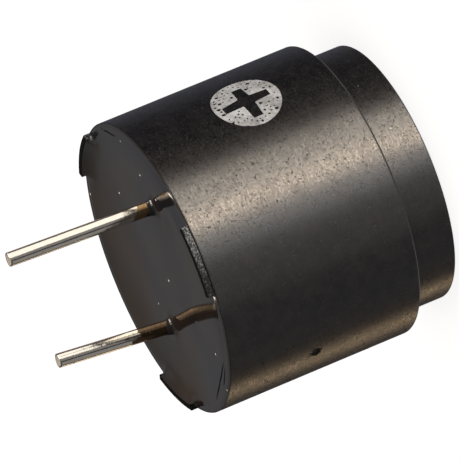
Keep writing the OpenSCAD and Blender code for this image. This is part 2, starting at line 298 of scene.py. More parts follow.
scar_rows = sorted(
    (BODY_R, height + length * (i / 4 - 0.5) * SCAR_ROWS)
    for turn, height, length, arc in SCARS for i in range(5)
)
shape = bmesh.new()
turned(shape, (
    (SOUND_HOLE_R, 0), (SOUND_HOLE_R + HOLD, 0), (NOSE_R - HOLD, 0), (NOSE_R, 0),
    (NOSE_R, HOLD), (NOSE_R, NOSE_Z - HOLD), (NOSE_R, NOSE_Z),
    (BODY_R - SHOULDER_ROUND - HOLD, NOSE_Z), (BODY_R, NOSE_Z),
    (BODY_R, NOSE_Z + SHOULDER_ROUND + HOLD), *scar_rows, (BODY_R, RIM_Z - HOLD),
    (BODY_R, RIM_Z), (TAB_OUT_R, RIM_Z), (TAB_IN_R, RIM_Z), (LIP_R, RIM_Z),
    (BORE_R, LIP_FOOT_Z), (BORE_R, LEDGE_Z), (CAVITY_R, LEDGE_Z), (CAVITY_R, FACE_T),
    (SOUND_HOLE_R, FACE_T),
))


def from_scar(point, scar):
    """How far up and round a point of the wall is from a scar's middle, where 1 is its edge."""
    turn, height, length, arc = scar
    if radius(point) < BODY_R - 0.01:
        return math.inf, math.inf
    return (point.z - height) / (length / 2), degrees_apart(turn_deg(point), turn) / arc


# The gate was broken off the wall and left a shallow chip with a ragged outline and floor.
draw = random.Random(11)
for scar in SCARS:
    around = [
        edge for edge in shape.edges
        if all(abs(off) < SCAR_FIELD for v in edge.verts for off in from_scar(v.co, scar))
    ]
    bmesh.ops.subdivide_edges(shape, edges=around, cuts=2, use_grid_fill=True)
    in_order(shape)
    chip = [
        face for face in shape.faces
        if math.hypot(*from_scar(face.calc_center_median(), scar)) < draw.uniform(0.7, 1.1)
    ]
    bmesh.ops.inset_region(
        shape, faces=chip, thickness=SCAR_SLOPE_W, depth=-SCAR_DEPTH, use_even_offset=True,
    )
    floor_points = {v for face in chip for v in face.verts}
    for v in sorted(floor_points, key=lambda v: place_number(v.co)):
        v.co.xy = v.co.xy * (1 - draw.uniform(0, SCAR_ROUGH))
    for face in chip:
        face.material_index = 1

round_ring(shape, BODY_R, NOSE_Z, SHOULDER_ROUND, 6)
round_ring(shape, NOSE_R, 0, NOSE_ROUND, 3)
round_ring(shape, SOUND_HOLE_R, 0, SOUND_HOLE_ROUND, 2)
round_ring(shape, BODY_R, RIM_Z, RIM_ROUND, 2)


def past_tab(point):
    """How far round a point is past the end of the nearest standoff, in degrees."""
    return min(degrees_apart(turn_deg(point), a) for a in TAB_CENTRES) - TAB_ARC / 2


# The standoffs grow out of the rim.
tab_feet = [
    face for face in shape.faces
    if abs(face.calc_center_median().z - RIM_Z) < NEARLY
    and TAB_IN_R < radius(face.calc_center_median()) < TAB_OUT_R
    and past_tab(face.calc_center_median()) < 0
]
grown = bmesh.ops.extrude_face_region(shape, geom=tab_feet)["geom"]
tops = [v for v in grown if isinstance(v, bmesh.types.BMVert)]
bmesh.ops.translate(shape, vec=(0, 0, TAB_TOP_Z - RIM_Z), verts=tops)
bmesh.ops.delete(shape, geom=[f for f in tab_feet if f.is_valid], context="FACES_ONLY")
tab_edges = [
    edge for edge in shape.edges
    if edge.verts[0].co.z > RIM_Z + 0.1 and edge.verts[1].co.z > RIM_Z + 0.1
    and len(edge.link_faces) == 2 and edge.calc_face_angle() > 1
]
bmesh.ops.bevel(
    shape, geom=tab_edges, offset=TAB_ROUND, offset_type="OFFSET", affect="EDGES", segments=2,
    profile=0.5, material=-1,
)
for face in shape.faces:
    middle = face.calc_center_median()
    if middle.z > RIM_Z + 5 * NEARLY and radius(middle) > TAB_IN_R - NEARLY:
        face.material_index = 1
finish_piece("moulded_case", shape, (case, eroded), ("housing",))


# ---- Diaphragm, its ring and its weight ----
# The ring is turned aluminium and drops onto a ledge in the housing. The diaphragm is a disc
# of cold-rolled spring steel that lies in the ring, with a small steel weight welded on.


def dress(names, material):
    """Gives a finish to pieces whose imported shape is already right."""
    for name in names:
        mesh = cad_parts[name].data
        mesh.materials.clear()
        mesh.materials.append(material)


# Turned aluminium: pale and bright, with lathe lines 0.08 mm apart round its axis.
turned_aluminium, tree, surface = new_material("turned_aluminium", Metallic=1)
place = add(tree, "TexCoord").outputs["Object"]
lathe_at = add(tree, "Mapping", {"Vector": place, "Scale": (400, 400, 12000)})
lathe = add(tree, "TexNoise", {"Vector": lathe_at.outputs[0], "Scale": 1, "Detail": 2})
tone = add(tree, "Mix", {0: lathe.outputs[0], 6: linear("#b9bbbe"), 7: linear("#d2d3d5")},
           data_type="RGBA")
bump = add(tree, "Bump", {"Strength": 1, "Distance": 0.000002, "Height": lathe.outputs[0]})
connect(tree, surface, {
    "Base Color": tone.outputs[2], "Roughness": 0.3, "Normal": bump.outputs[0],
})
dress(["support_ring"], turned_aluminium)

# Cold-rolled spring steel: grey and smooth, with rolling lines 0.1 mm apart along X.
spring_steel, tree, surface = new_material("rolled_spring_steel", Metallic=1)
place = add(tree, "TexCoord").outputs["Object"]
rolled_at = add(tree, "Mapping", {"Vector": place, "Scale": (500, 10000, 10000)})
rolled = add(tree, "TexNoise", {"Vector": rolled_at.outputs[0], "Scale": 1, "Detail": 3})
tone = add(tree, "Mix", {0: rolled.outputs[0], 6: linear("#9c9da0"), 7: linear("#c4c5c8")},
           data_type="RGBA")
gloss = add(tree, "MapRange", {"Value": rolled.outputs[0], "To Min": 0.22, "To Max": 0.36})
connect(tree, surface, {"Base Color": tone.outputs[2], "Roughness": gloss.outputs[0]})
dress(["diaphragm", "diaphragm_weight"], spring_steel)


# ---- Magnet system and coil ----
# A soft-iron core is riveted into a nickel-plated iron plate. A sintered ferrite ring stands
# round it, and a moulded bobbin with two windings of enamelled copper wire sits on the core.

# Nickel-plated iron: a warm grey metal with a soft cloudy gloss.
plated_iron, tree, surface = new_material("nickel_plated_iron", Metallic=1)
place = add(tree, "TexCoord").outputs["Object"]
cloud = add(tree, "TexNoise", {"Vector": place, "Scale": 1500, "Detail": 4})
tone = add(tree, "Mix", {0: cloud.outputs[0], 6: linear("#8f8f8e"), 7: linear("#b4b2ad")},
           data_type="RGBA")
gloss = add(tree, "MapRange", {"Value": cloud.outputs[0], "To Min": 0.24, "To Max": 0.42})
connect(tree, surface, {"Base Color": tone.outputs[2], "Roughness": gloss.outputs[0]})
dress(["pole_core", "yoke_plate"], plated_iron)

# Sintered ferrite: dark grey and dull, with a ceramic grain of 0.05 mm.
ferrite, tree, surface = new_material("sintered_ferrite", IOR=2.0)
place = add(tree, "TexCoord").outputs["Object"]
grit = add(tree, "TexNoise", {"Vector": place, "Scale": 15000, "Detail": 3})
tone = add(tree, "Mix", {0: grit.outputs[0], 6: linear("#2a2929"), 7: linear("#444242")},
           data_type="RGBA")
bump = add(tree, "Bump", {"Strength": 1, "Distance": 0.000006, "Height": grit.outputs[0]})
connect(tree, surface, {
    "Base Color": tone.outputs[2], "Roughness": 0.7, "Normal": bump.outputs[0],
})
dress(["ring_magnet"], ferrite)

# Natural nylon: cream, slightly translucent, with faint flow marks from the mould.
nylon, tree, surface = new_material("natural_nylon", IOR=1.53, Subsurface_Weight=0.15)
place = add(tree, "TexCoord").outputs["Object"]
flow = add(tree, "TexNoise", {"Vector": place, "Scale": 1200, "Detail": 2})
tone = add(tree, "Mix", {0: flow.outputs[0], 6: linear("#ded8c4"), 7: linear("#efeadb")},
           data_type="RGBA")
gloss = add(tree, "MapRange", {"Value": flow.outputs[0], "To Min": 0.35, "To Max": 0.5})
connect(tree, surface, {"Base Color": tone.outputs[2], "Roughness": gloss.outputs[0]})
dress(["bobbin"], nylon)

WIRE_PITCH = 0.07
# Enamelled copper wire: shiny red-brown turns, one wire's width apart along the axis.
copper, tree, surface = new_material("enamelled_copper", Metallic=1, Coat_Weight=0.6,
                                     Coat_Roughness=0.12)
place = add(tree, "TexCoord").outputs["Object"]
height = add(tree, "SeparateXYZ", {0: place})
turn = add(tree, "Math", {0: height.outputs[2], 1: math.tau / (WIRE_PITCH * MM)},
           operation="MULTIPLY")
wave = add(tree, "Math", {0: turn.outputs[0]}, operation="SINE")
tone = add(tree, "Mix", {0: wave.outputs[0], 6: linear("#8a4420"), 7: linear("#c9743c")},
           data_type="RGBA")
bump = add(tree, "Bump", {"Strength": 1, "Distance": 0.00001, "Height": wave.outputs[0]})
connect(tree, surface, {
    "Base Color": tone.outputs[2], "Roughness": 0.28, "Normal": bump.outputs[0],
})
dress(["drive_coil", "sense_coil", "drive_lead", "common_lead", "sense_lead"], copper)


# ---- Circuit board ----
# A round board of paper laminate carries a transistor, a diode and a resistor. The pins and
# the ends of the windings come up through it and are soldered on its far side.

# Paper laminate: tan, dull, with fibres about 0.2 mm long.
laminate, tree, surface = new_material("paper_laminate", IOR=1.55)
place = add(tree, "TexCoord").outputs["Object"]
fibre_at = add(tree, "Mapping", {"Vector": place, "Scale": (4500, 9000, 9000)})
fibre = add(tree, "TexNoise", {"Vector": fibre_at.outputs[0], "Scale": 1, "Detail": 3})
tone = add(tree, "Mix", {0: fibre.outputs[0], 6: linear("#a8793c"), 7: linear("#c99a58")},
           data_type="RGBA")
connect(tree, surface, {"Base Color": tone.outputs[2], "Roughness": 0.6})
dress(["circuit_board"], laminate)

# Moulding compound: charcoal, with a fine matt grain of 0.03 mm.
compound, tree, surface = new_material("moulding_compound", IOR=1.55)
place = add(tree, "TexCoord").outputs["Object"]
grain = add(tree, "TexNoise", {"Vector": place, "Scale": 30000, "Detail": 2})
tone = add(tree, "Mix", {0: grain.outputs[0], 6: linear("#222224"), 7: linear("#343436")},
           data_type="RGBA")
bump = add(tree, "Bump", {"Strength": 1, "Distance": 0.000003, "Height": grain.outputs[0]})
connect(tree, surface, {
    "Base Color": tone.outputs[2], "Roughness": 0.62, "Normal": bump.outputs[0],
})
dress(["transistor", "diode", "resistor"], compound)

# Tin solder: bright grey, set in a smooth cone with a faint frost.
solder, tree, surface = new_material("tin_solder", Metallic=1)
place = add(tree, "TexCoord").outputs["Object"]
frost = add(tree, "TexNoise", {"Vector": place, "Scale": 6000, "Detail": 3})
tone = add(tree, "Mix", {0: frost.outputs[0], 6: linear("#b4b6b8"), 7: linear("#d6d8da")},
           data_type="RGBA")
gloss = add(tree, "MapRange", {"Value": frost.outputs[0], "To Min": 0.15, "To Max": 0.4})
connect(tree, surface, {"Base Color": tone.outputs[2], "Roughness": gloss.outputs[0]})
dress(["lead_solder", "plus_solder", "minus_solder"], solder)


# ---- Pins ----
# Two tinned steel wires, soldered in the board and bent a little where they leave the resin.
# Cutters left their tips flat with a sharp burr, and resin crept up both feet as a brown film.

PIN_R = 0.38
PIN_SIDES = 48
PIN_RINGS = 90
PIN_X = 3.85
# The negative wire was set a little further out than the drawing says
MINUS_X = -3.94
FOOT_Z = 9.55
FILL_Z = 13.25
PLUS_LEN = 8.195
MINUS_LEN = 6.43
# Both wires lean the same way, each by its own angle, and bend over a short length
LEAN_DIR = 38.5
PLUS_LEAN = 2.2
MINUS_LEAN = 5.25
BEND = 0.25
TIP_ROUND = 0.035
BURR_W = 0.05
BURR_H = 0.015
# The brown film reaches this far up each wire, with a slanting edge
PLUS_FILM = 1.35
MINUS_FILM = 2.3
FILM_SLANT = 0.8
# Below these heights over the resin the film is thick and black
WET_FULL = 0.4
WET_END = 0.62


def tinned_wire(name, x, film_reach, film, film_dark):
    """Tin plate: a bright warm metal under a brown film near its foot.

    Its drawing lines are 0.1 mm apart and 2 mm long, and its pits are up to 0.1 mm across.
    """
    material, tree, surface = new_material(name)
    place = add(tree, "TexCoord").outputs["Object"]
    drawn_at = add(tree, "Mapping", {"Vector": place, "Scale": (9000, 9000, 450)})
    drawn = add(tree, "TexNoise", {"Vector": drawn_at.outputs[0], "Scale": 1, "Detail": 3})
    dents = add(tree, "TexNoise", {"Vector": place, "Scale": 2600, "Detail": 3})
    pits = add(tree, "TexVoronoi", {"Vector": place, "Scale": 5200})
    rough_at = add(tree, "TexNoise", {"Vector": place, "Scale": 700, "Detail": 1})
    pit_size = add(tree, "MapRange", {
        "Value": rough_at.outputs[0], "From Min": 0.5, "From Max": 0.7, "To Min": 0, "To Max": 0.32,
    })
    pit_edge = add(tree, "Math", {0: pit_size.outputs[0], 1: pits.outputs["Distance"]},
                   operation="SUBTRACT")
    pit = add(tree, "MapRange", {"Value": pit_edge.outputs[0], "From Min": 0, "From Max": 0.08})
    split = add(tree, "SeparateXYZ", {0: place})
    aside = add(tree, "Math", {0: split.outputs[0], 1: x * MM}, operation="SUBTRACT")
    up = add(tree, "Math", {0: aside.outputs[0], 1: FILM_SLANT, 2: split.outputs[2]},
             operation="MULTIPLY_ADD")
    ragged = add(tree, "TexNoise", {"Vector": place, "Scale": 2200, "Detail": 3})
    edge = add(tree, "MapRange", {
        "Value": ragged.outputs[0], "From Min": 0.3, "From Max": 0.7,
        "To Min": (FILL_Z + film_reach * 0.85) * MM, "To Max": (FILL_Z + film_reach * 1.15) * MM,
    })
    over = add(tree, "Math", {0: edge.outputs[0], 1: up.outputs[0]}, operation="SUBTRACT")
    coated = add(tree, "MapRange", {
        "Value": over.outputs[0], "From Min": 0, "From Max": 0.1 * MM,
    })
    low = add(tree, "MapRange", {
        "Value": up.outputs[0], "From Min": (FILL_Z + WET_FULL) * MM,
        "From Max": (FILL_Z + WET_END) * MM, "To Min": 1, "To Max": 0,
    })
    tin = add(tree, "Mix", {0: dents.outputs[0], 6: linear("#d9d3c6"), 7: linear("#efece2")},
              data_type="RGBA")
    pitted = add(tree, "Mix", {0: pit.outputs[0], 6: tin.outputs[2], 7: linear("#6f6a60")},
                 data_type="RGBA")
    shade = add(tree, "Mix", {0: ragged.outputs[0], 6: linear(film_dark), 7: linear(film)},
                data_type="RGBA")
    filmed = add(tree, "Mix", {0: coated.outputs[0], 6: pitted.outputs[2], 7: shade.outputs[2]},
                 data_type="RGBA")
    wet = add(tree, "Mix", {0: low.outputs[0], 6: filmed.outputs[2], 7: linear("#0c0b0b")},
              data_type="RGBA")
    gloss = add(tree, "Mix", {0: coated.outputs[0], 2: 0.14, 3: 0.24}, data_type="FLOAT")
    metal = add(tree, "MapRange", {"Value": coated.outputs[0], "To Min": 1, "To Max": 0.93})
    drawn_low = add(tree, "Math", {0: drawn.outputs[0], 1: 0.25}, operation="MULTIPLY")
    relief = add(tree, "Math", {0: dents.outputs[0], 1: drawn_low.outputs[0]}, operation="ADD")
    sunk = add(tree, "Math", {0: pit.outputs[0], 1: -0.6, 2: relief.outputs[0]},
               operation="MULTIPLY_ADD")
    bump = add(tree, "Bump", {"Strength": 1, "Distance": 0.000009, "Height": sunk.outputs[0]})
    connect(tree, surface, {
        "Base Color": wet.outputs[2], "Metallic": metal.outputs[0], "Roughness": gloss.outputs[0],
        "Normal": bump.outputs[0],
    })
    return material


# The sheared end of the wire: torn steel smeared with tin, which is pale and almost matt.
sheared, tree, surface = new_material("sheared_wire_end", Metallic=0.35)
place = add(tree, "TexCoord").outputs["Object"]
torn_at = add(tree, "Mapping", {"Vector": place, "Scale": (3000, 12000, 3000)})
torn = add(tree, "TexNoise", {"Vector": torn_at.outputs[0], "Scale": 1, "Detail": 3})
tone = add(tree, "Mix", {0: torn.outputs[0], 6: linear("#9b8f7d"), 7: linear("#e6dfd2")},
           data_type="RGBA")
bump = add(tree, "Bump", {"Strength": 1, "Distance": 0.00001, "Height": torn.outputs[0]})
connect(tree, surface, {
    "Base Color": tone.outputs[2], "Roughness": 0.55, "Normal": bump.outputs[0],
})


def smooth(t):
    """An even step from 0 to 1, with soft ends."""
    t = min(max(t, 0), 1)
    return t * t * (3 - 2 * t)


def wire_pin(name, x, free_len, lean, material, node):
    """A wire from its foot under the board to its tip, bent over a short length at the resin."""
    shape = bmesh.new()
    tall = FILL_Z - FOOT_Z + free_len
    bmesh.ops.create_cone(
        shape, cap_ends=True, segments=PIN_SIDES, radius1=PIN_R, radius2=PIN_R, depth=tall,
        matrix=Matrix.Translation((0, 0, tall / 2)),
    )
    sides = [e for e in shape.edges if abs(e.verts[0].co.z - e.verts[1].co.z) > 1]
    bmesh.ops.subdivide_edges(shape, edges=sides, cuts=PIN_RINGS)
    tip = [e for e in shape.edges if all(v.co.z > tall - NEARLY for v in e.verts)]
    bmesh.ops.bevel(
        shape, geom=tip, offset=TIP_ROUND, offset_type="OFFSET", affect="EDGES", segments=2,
        profile=0.5, material=-1,
    )
    end = [f for f in shape.faces if f.calc_center_median().z > tall - NEARLY]
    bmesh.ops.inset_region(shape, faces=end, thickness=BURR_W, depth=-BURR_H)
    for face in end:
        face.material_index = 1
    toward = Matrix.Rotation(math.radians(LEAN_DIR), 3, "Z")
    hinge = FILL_Z - FOOT_Z
    for v in shape.verts:
        tilt = math.radians(lean) * smooth((v.co.z - hinge) / BEND)
        bent = Matrix.Rotation(tilt, 3, "Y")
        local = v.co - Vector((0, 0, hinge))
        v.co = toward @ (bent @ (toward.inverted() @ local)) + Vector((x, 0, FILL_Z))
    finish_piece(name, shape, (material, sheared), (node,))


plus_tin = tinned_wire("tinned_steel_amber_foot", PIN_X, PLUS_FILM, "#a48d6b", "#7e6540")
minus_tin = tinned_wire("tinned_steel_brown_foot", MINUS_X, MINUS_FILM, "#6c5c48", "#443728")
wire_pin("plus_wire", PIN_X, PLUS_LEN, PLUS_LEAN, plus_tin, "plus_pin")
wire_pin("minus_wire", MINUS_X, MINUS_LEN, MINUS_LEAN, minus_tin, "minus_pin")


# ---- Resin ----
# Black epoxy, poured into the open end and cured there. It climbs the rim, the standoffs and
# the pins in hollow curves, wets the rim as a thin film, and shrank away in three places.

BOARD_R = 6.95
BOARD_Z = 9.85
PARTS_Z = 10.85
BOWL_R = 7.6
# A faint swell on the bowl, as its height and its waves across x and y
SWELL = 0.012
SWELL_X = 0.9
SWELL_Y = 0.7
FILM_R = 7.93
FILM_T = 0.006
# The climb at a standoff starts at this radius, steepens upwards, ends just under the
# standoff's top, and fades round the standoff's end
TAB_FOOT_R = 6.6
CLIMB_POWER = 2.4
CLIMB_SHORT = 0.03
CLIMB_FADE = 2.2
# The rim stays wet this far past each end of a standoff
TAB_WET_DEG = 0.5
# Each pin's foot has a steep narrow collar on a low wide one, given as width and height
COLLARS = ((0.1, 0.32), (0.55, 0.11))
# Each crease runs through these points, given as turn and radius
CREASES = (
    ((23.6, 7.28), (27.3, 7.34), (30.8, 7.46), (33.6, 7.57), (36.7, 7.66)),
    ((-136.2, 7.48), (-128.5, 7.14), (-119.8, 6.95), (-110.7, 6.95), (-102, 7.14)),
    ((-118, 7.42), (-114, 7.37), (-109.9, 7.33), (-104.8, 7.32)),
)
CREASE_W = 0.05
CREASE_DEPTH = 0.11
# A crease narrows towards its ends over one share of its length, and runs out over the other
CREASE_TAPER = 0.3
CREASE_RUN_OUT = 0.15
# Broad shallow hollows where the resin sank as it cured, each given as x, y, radius and depth
HOLLOWS = (
    (4.3, -2.3, 1.1, 0.07), (0.6, 2.4, 1.8, 0.045), (-1.2, -3.6, 1.6, 0.03), (-4.6, 2.6, 1.5, 0.04),
)
# A bubble that burst left a faint ring
BUBBLE = Vector((5.4, 0.45))
BUBBLE_R = 0.45
BUBBLE_RING_W = 0.12
BUBBLE_RING_DEPTH = 0.006
# Rings of points on the skin, closer together outwards: start, step and number of each run
RING_RUNS = ((0, 0.25, 12), (3, 0.08, 44), (6.52, 0.07, 15))
# The skin is cut finer between these radii at a crease, out from this one at a standoff's ends,
# and this near to a pin
CREASE_NEAR = (6.8, 7.78)
TAB_NEAR = 6.9
PIN_NEAR = 0.55


def crease_depth(point):
    """How far the resin's skin has sunk at a point where it came away from the rim."""
    r, deg = radius(point), turn_deg(point)
    sunk = 0
    for line in CREASES:
        for (deg_a, r_a), (deg_b, r_b) in zip(line, line[1:]):
            if deg_a <= deg < deg_b:
                middle = r_a + (r_b - r_a) * (deg - deg_a) / (deg_b - deg_a)
                t = (deg - line[0][0]) / (line[-1][0] - line[0][0])
                end = min(t, 1 - t)
                width = CREASE_W * smooth(end / CREASE_TAPER + 0.15)
                side = smooth(1.4 - abs(r - middle) / width)
                sunk += CREASE_DEPTH * smooth(end / CREASE_RUN_OUT) * side
    return sunk


def skin_height(point):
    """Height of the resin's skin over a point: a shallow bowl that climbs what it touches."""
    r = radius(point)
    bowl = min(r / BOWL_R, 1) ** 4
    z = FILL_Z + (RIM_Z + FILM_T - FILL_Z) * bowl
    wave = math.sin(point.x * SWELL_X + 0.5) * math.cos(point.y * SWELL_Y - 0.4)
    z += SWELL * wave * (1 - bowl)
    past = past_tab(point)
    if r < TAB_IN_R + 0.01:
        off = max(TAB_IN_R - r, 0.001)
        climb = max(1 - off / (TAB_IN_R - TAB_FOOT_R), 0) ** CLIMB_POWER
        climb *= 0.5 - math.atan2(CLIMB_FADE * math.radians(past) * r, off) / math.pi
    else:
        climb = 0.5 * max(1 - (r - TAB_IN_R) / (FILM_R - TAB_IN_R), 0) if past > -0.01 else 0
        climb *= max(1 - past / TAB_WET_DEG, 0) ** 2
    z += (TAB_TOP_Z - CLIMB_SHORT - RIM_Z) * climb
    for x in (MINUS_X, PIN_X):
        away = max(math.hypot(point.x - x, point.y) - PIN_R, 0)
        for wide, high in COLLARS:
            z += high * max(1 - away / wide, 0) ** 2
    for x, y, wide, deep in HOLLOWS:
        z -= deep * math.exp(-((point.x - x) ** 2 + (point.y - y) ** 2) / (2 * (wide / 1.5) ** 2))
    from_ring = abs((point.xy - BUBBLE).length - BUBBLE_R)
    z -= BUBBLE_RING_DEPTH * smooth(1 - from_ring / BUBBLE_RING_W)
    return z - crease_depth(point)


# Cast epoxy: black and glassy, with a faint brown or blue cast and a few grains of dust.
epoxy, tree, surface = new_material("cast_epoxy", IOR=1.55)
place = add(tree, "TexCoord").outputs["Object"]
cast = add(tree, "TexNoise", {"Vector": place, "Scale": 240, "Detail": 2})
tint = add(tree, "MapRange", {"Value": cast.outputs[0], "From Min": 0.35, "From Max": 0.65})
tone = add(tree, "Mix", {0: tint.outputs[0], 6: linear("#15171c"), 7: linear("#251d19")},
           data_type="RGBA")
dust = add(tree, "TexVoronoi", {"Vector": place, "Scale": 1500})
dust_pick = add(tree, "SeparateXYZ", {0: dust.outputs["Color"]})
dust_size = add(tree, "MapRange", {
    "Value": dust_pick.outputs[0], "From Min": 0.7, "From Max": 1, "To Min": 0, "To Max": 0.11,
})
dust_edge = add(tree, "Math", {0: dust_size.outputs[0], 1: dust.outputs["Distance"]},
                operation="SUBTRACT")
speck = add(tree, "MapRange", {"Value": dust_edge.outputs[0], "From Min": 0, "From Max": 0.01})
dusty = add(tree, "Mix", {0: speck.outputs[0], 6: tone.outputs[2], 7: linear("#f2ede4")},
            data_type="RGBA")
haze = add(tree, "TexNoise", {"Vector": place, "Scale": 1800, "Detail": 4})
gloss = add(tree, "MapRange", {"Value": haze.outputs[0], "To Min": 0.05, "To Max": 0.13})
dull = add(tree, "Mix", {0: speck.outputs[0], 2: gloss.outputs[0], 3: 0.8}, data_type="FLOAT")
bump = add(tree, "Bump", {"Strength": 1, "Distance": 0.0000015, "Height": haze.outputs[0]})
connect(tree, surface, {
    "Base Color": dusty.outputs[2], "Roughness": dull.outputs[0], "Normal": bump.outputs[0],
})


def on_skin(v):
    return abs(v.co.z - FILL_Z) < NEARLY


def cut_skin(shape, near):
    """Cuts the skin finer, while it is still flat, at the edges that are near something."""
    edges = [edge for edge in shape.edges if all(map(on_skin, edge.verts)) and near(edge)]
    bmesh.ops.subdivide_edges(shape, edges=edges, cuts=3, use_grid_fill=True)


shape = bmesh.new()
rings = [(0, FILL_Z)]
for start, step, count in RING_RUNS:
    rings += [(start + step * i, FILL_Z) for i in range(1, count + 1)]
rings += [(TAB_IN_R, FILL_Z), (TAB_IN_R + 0.03, FILL_Z), (FILM_R - 0.03, FILL_Z)]
turned(shape, rings + [
    (FILM_R, RIM_Z - 0.01), (LIP_R, RIM_Z - 0.04), (BORE_R, LIP_FOOT_Z), (BORE_R, BOARD_Z),
    (BOARD_R, BOARD_Z), (BOARD_R, PARTS_Z), (0, PARTS_Z),
], closed=False)
cut_skin(shape, lambda edge: all(
    CREASE_NEAR[0] < radius(v.co) < CREASE_NEAR[1] for v in edge.verts
) and any(
    line[0][0] - 1 < turn_deg(edge.verts[0].co + edge.verts[1].co) < line[-1][0] + 1
    for line in CREASES
))
cut_skin(shape, lambda edge: all(
    radius(v.co) > TAB_NEAR and abs(past_tab(v.co) - 1) < 1.6 for v in edge.verts
))
cut_skin(shape, lambda edge: all(
    math.hypot(abs(v.co.x) - PIN_X, v.co.y) < PIN_R + PIN_NEAR for v in edge.verts
))
for v in filter(on_skin, shape.verts):
    v.co.z = skin_height(v.co)
finish_piece("cast_resin", shape, (epoxy,), ("potting",))


# ---- Polarity print ----
# A pad-printed spot of pale grey ink on the side under the positive pin, with a bare plus in
# it. The ink is under a hundredth of a millimetre thick and has pinholes and two nicks.

PRINT_Z = 7.35
PRINT_ALONG = 3.6
PRINT_ROUND = 3.95
PRINT_R = 7.992
INK_T = 0.0078
# The outline of the plus, as points along the wall and up it, and the spans of its two bars
PLUS = (
    (-0.43, 1.35), (0.09, 1.35), (0.3, 0.32), (1.2, 0.27), (1.2, -0.27), (0.32, -0.33),
    (0.26, -1.28), (-0.26, -1.28), (-0.36, -0.33), (-1.41, -0.27), (-1.41, 0.27), (-0.38, 0.32),
)
PLUS_BARS = ((-0.45, 0.34, -1.28, 1.35), (-1.41, 1.2, -0.34, 0.34))
PLUS_ROUND = 0.06
# Each nick in the edge is given as its turn, its depth and its half width in degrees
NICKS = ((132, 0.22, 2.6), (156, 0.09, 2))
HOLE_COUNT = 66
HOLE_RADII = (0.04, 0.05, 0.065, 0.09)
HOLES_APART = 0.2
HOLE_TO_PLUS = 0.09
# The flat print is cut in strips, so that it can be bent round the wall
STRIP_W = 0.21

# Pad-printing ink: a pale cool grey, dull and a little mottled where it lies thin.
ink, tree, surface = new_material("pad_printed_ink", IOR=1.5)
place = add(tree, "TexCoord").outputs["Object"]
mottle = add(tree, "TexNoise", {"Vector": place, "Scale": 5200, "Detail": 4, "Roughness": 0.6})
wash = add(tree, "TexNoise", {"Vector": place, "Scale": 900, "Detail": 1})
spread = add(tree, "Math", {0: mottle.outputs[0], 1: wash.outputs[0]}, operation="ADD")
level = add(tree, "MapRange", {"Value": spread.outputs[0], "From Min": 0.8, "From Max": 1.2})
tone = add(tree, "Mix", {0: level.outputs[0], 6: linear("#85888c"), 7: linear("#b6bcc5")},
           data_type="RGBA")
bump = add(tree, "Bump", {"Strength": 1, "Distance": 0.000003, "Height": mottle.outputs[0]})
connect(tree, surface, {
    "Base Color": tone.outputs[2], "Roughness": 0.55, "Normal": bump.outputs[0],
})

shape = bmesh.new()
bmesh.ops.create_circle(shape, cap_ends=False, segments=120, radius=1)
bmesh.ops.scale(shape, vec=(PRINT_ROUND / 2, PRINT_ALONG / 2, 1), verts=shape.verts)
for v in shape.verts:
    for nick_deg, depth, width in NICKS:
        bite = depth * max(0, 1 - degrees_apart(turn_deg(v.co), nick_deg) / width)
        v.co *= 1 - bite / (PRINT_ALONG / 2)
arms = shape.faces.new([shape.verts.new((s, z, 0)) for s, z in PLUS])
inner_corners = [v for v in arms.verts if max(abs(v.co.x), abs(v.co.y)) < 0.5]
bmesh.ops.bevel(
    shape, geom=inner_corners, offset=PLUS_ROUND, offset_type="OFFSET", affect="VERTICES",
    segments=2, profile=0.5, material=-1,
)
bmesh.ops.delete(shape, geom=shape.faces[:], context="FACES_ONLY")


def clear_of_plus(s, z, room):
    """Whether a point of the print is off both bars of the plus, with some room to spare."""
    return not any(
        s_low - room < s < s_high + room and z_low - room < z < z_high + room
        for s_low, s_high, z_low, z_high in PLUS_BARS
    )


# Pinholes, where the ink missed: anywhere in the spot that is clear of its edge and the plus.
draw = random.Random(7)
holes = []
while len(holes) < HOLE_COUNT:
    s, z = draw.uniform(-1.9, 1.9), draw.uniform(-1.75, 1.75)
    size = draw.choice(HOLE_RADII)
    inside = math.hypot(s / (PRINT_ROUND / 2), z / (PRINT_ALONG / 2)) < 0.92
    apart = all(math.hypot(s - a, z - b) > HOLES_APART for a, b in holes)
    if inside and apart and clear_of_plus(s, z, HOLE_TO_PLUS):
        holes.append((s, z))
        stretch = Matrix.Diagonal((1, draw.uniform(0.7, 1.4), 1, 1))
        bmesh.ops.create_circle(
            shape, cap_ends=False, segments=8, radius=size,
            matrix=Matrix.Translation((s, z, 0)) @ stretch,
        )
bmesh.ops.triangle_fill(shape, edges=shape.edges[:], use_beauty=True, normal=(0, 0, 1))
for i in range(-9, 10):
    bmesh.ops.bisect_plane(
        shape, geom=shape.verts[:] + shape.edges[:] + shape.faces[:],
        plane_co=(STRIP_W * i, 0, 0), plane_no=(1, 0, 0),
    )
for v in shape.verts:
    turn = v.co.x / PRINT_R
    v.co = Vector((PRINT_R * math.cos(turn), PRINT_R * math.sin(turn), PRINT_Z + v.co.y))
bmesh.ops.recalc_face_normals(shape, faces=shape.faces)
shape.faces.ensure_lookup_table()
if shape.faces[0].normal.x > 0:
    bmesh.ops.reverse_faces(shape, faces=shape.faces[:])
bmesh.ops.solidify(shape, geom=shape.faces[:], thickness=INK_T)
finish_piece("polarity_print", shape, (ink,))


# ---- Floor, light and camera ----
# A white sheet lies under the part. The soft boxes stand low round it, just under the level of
# the sheet, as beside a light table, so the sheet neither blocks them nor shows in the gloss.

